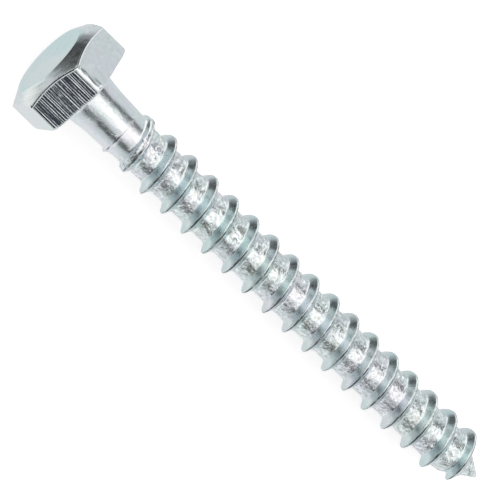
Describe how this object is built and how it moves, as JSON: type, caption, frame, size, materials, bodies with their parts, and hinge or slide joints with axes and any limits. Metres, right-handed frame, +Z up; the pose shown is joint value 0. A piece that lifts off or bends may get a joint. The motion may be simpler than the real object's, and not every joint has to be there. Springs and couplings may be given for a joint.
{
  "type": "lag screw",
  "caption": "Hex-head lag screw of bright zinc-plated steel: short plain shank, coarse rolled wood thread and cone point. Drives into timber and clamps under its head.",
  "frame": {"origin": "centre of the base of the bounding box, on the surface the screw lies on", "axes": "+X runs from the head towards the point, tipped 2.36 degrees down; +Z is up, normal to the surface; the scored side of the head faces up"},
  "size_m": [0.0764, 0.0152, 0.0134],
  "materials": {
    "zinc_plated_steel": "bright zinc plating over cold-forged steel, smooth with fine drawing and rolling marks"
  },
  "bodies": {
    "root": {"lag_screw": "zinc_plated_steel"}
  },
  "joints": []
}
